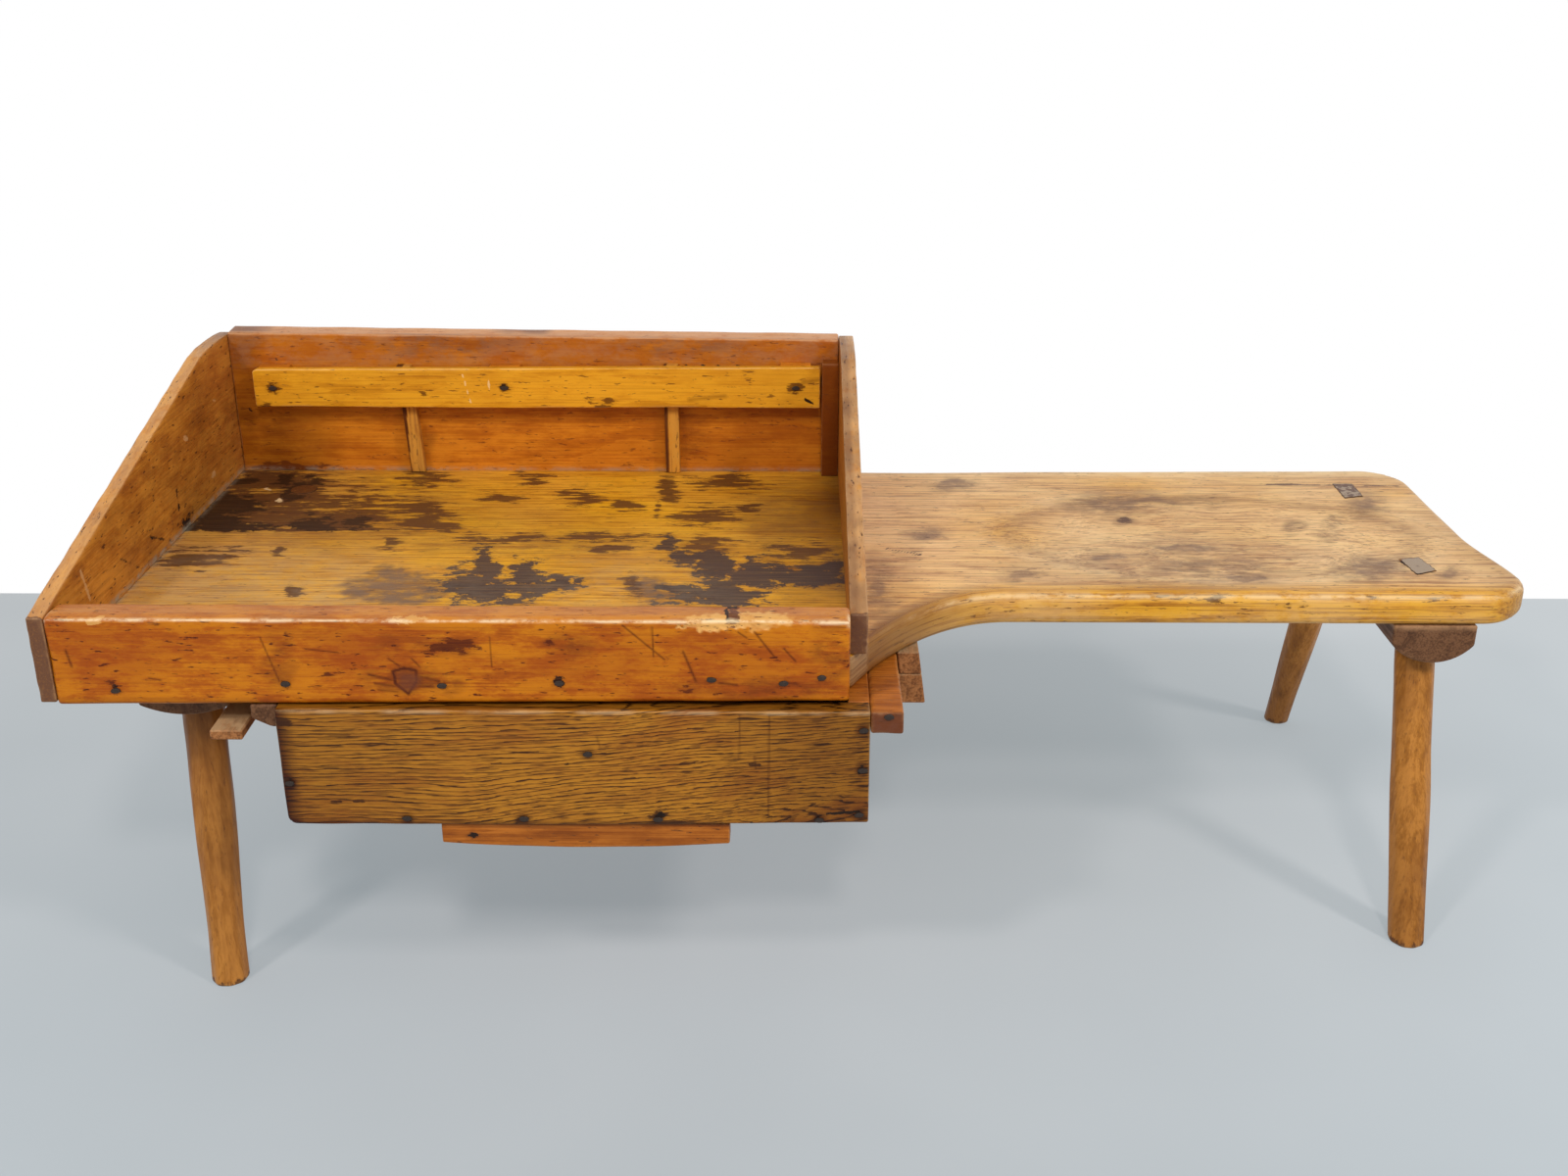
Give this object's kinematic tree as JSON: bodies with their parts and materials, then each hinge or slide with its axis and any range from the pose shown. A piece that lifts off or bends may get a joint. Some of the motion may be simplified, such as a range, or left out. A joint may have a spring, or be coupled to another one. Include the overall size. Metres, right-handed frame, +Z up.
{
  "type": "cobbler's bench",
  "caption": "Low cobbler's bench: a dished plank seat beside a walled work tray with a tool rack, on splayed legs, with a drawer that slides out from under the tray.",
  "frame": {"origin": "on the floor, under the middle of the whole bench's outline with the drawer shut", "axes": "+X along the bench from the tray to the seat, +Y from the drawer's front to the back board, +Z up"},
  "size_m": [1.204, 0.553, 0.453],
  "materials": {
    "worn_pine": "hand-worn, waxed",
    "shellacked_pine": "old orange shellac",
    "red_pine": "old dark shellac",
    "golden_pine": "old shellac",
    "pale_end_grain": "bare, worn",
    "dark_oak": "bare, dark with age",
    "honey_ash": "waxed, hand-shaved",
    "olive_chestnut": "oiled open grain",
    "orange_pine": "old shellac",
    "dusty_oak": "bare, dusty",
    "wrought_iron": "rusted brown"
  },
  "bodies": {
    "bench": {"back_board": "red_pine", "bench_plank": "worn_pine", "drawer_hanger_left": "dusty_oak", "drawer_hanger_right": "dusty_oak", "drawer_runner_left": "dusty_oak", "drawer_runner_right": "dusty_oak", "front_rail": "shellacked_pine", "left_batten": "dark_oak", "left_side_board": "shellacked_pine", "leg_back_left": "honey_ash", "leg_back_right": "honey_ash", "leg_front_left": "honey_ash", "leg_front_right": "honey_ash", "leg_wedge_back_left": "pale_end_grain", "leg_wedge_back_right": "pale_end_grain", "leg_wedge_front_left": "pale_end_grain", "leg_wedge_front_right": "pale_end_grain", "rack_corner_block": "red_pine", "rack_divider_left": "pale_end_grain", "rack_divider_right": "pale_end_grain", "rack_nail_left": "wrought_iron", "rack_nail_middle": "wrought_iron", "rack_nail_right": "wrought_iron", "rack_spacer_left": "golden_pine", "rack_spacer_middle": "golden_pine", "rack_spacer_right": "golden_pine", "rack_strip": "golden_pine", "rail_nail_1": "wrought_iron", "rail_nail_2": "wrought_iron", "rail_nail_3": "wrought_iron", "rail_nail_4": "wrought_iron", "rail_nail_5": "wrought_iron", "rail_nail_6": "wrought_iron", "rail_nail_7": "wrought_iron", "right_batten": "dark_oak", "right_side_board": "shellacked_pine"},
    "drawer": {"drawer_back": "orange_pine", "drawer_bottom": "orange_pine", "drawer_cleat_left": "orange_pine", "drawer_cleat_nail": "wrought_iron", "drawer_cleat_right": "orange_pine", "drawer_corner_nail": "wrought_iron", "drawer_floor_nail_1": "wrought_iron", "drawer_floor_nail_2": "wrought_iron", "drawer_floor_nail_3": "wrought_iron", "drawer_floor_nail_4": "wrought_iron", "drawer_front": "olive_chestnut", "drawer_left_nail_1": "wrought_iron", "drawer_middle_nail": "wrought_iron", "drawer_pull": "orange_pine", "drawer_right_nail_1": "wrought_iron", "drawer_right_nail_2": "wrought_iron", "drawer_side_left": "orange_pine", "drawer_side_right": "orange_pine"}
  },
  "joints": [
    {"name": "drawer_slide", "type": "slide", "parent": "bench", "child": "drawer", "axis": [0, -1, 0], "range_m": [0, 0.3]}
  ]
}
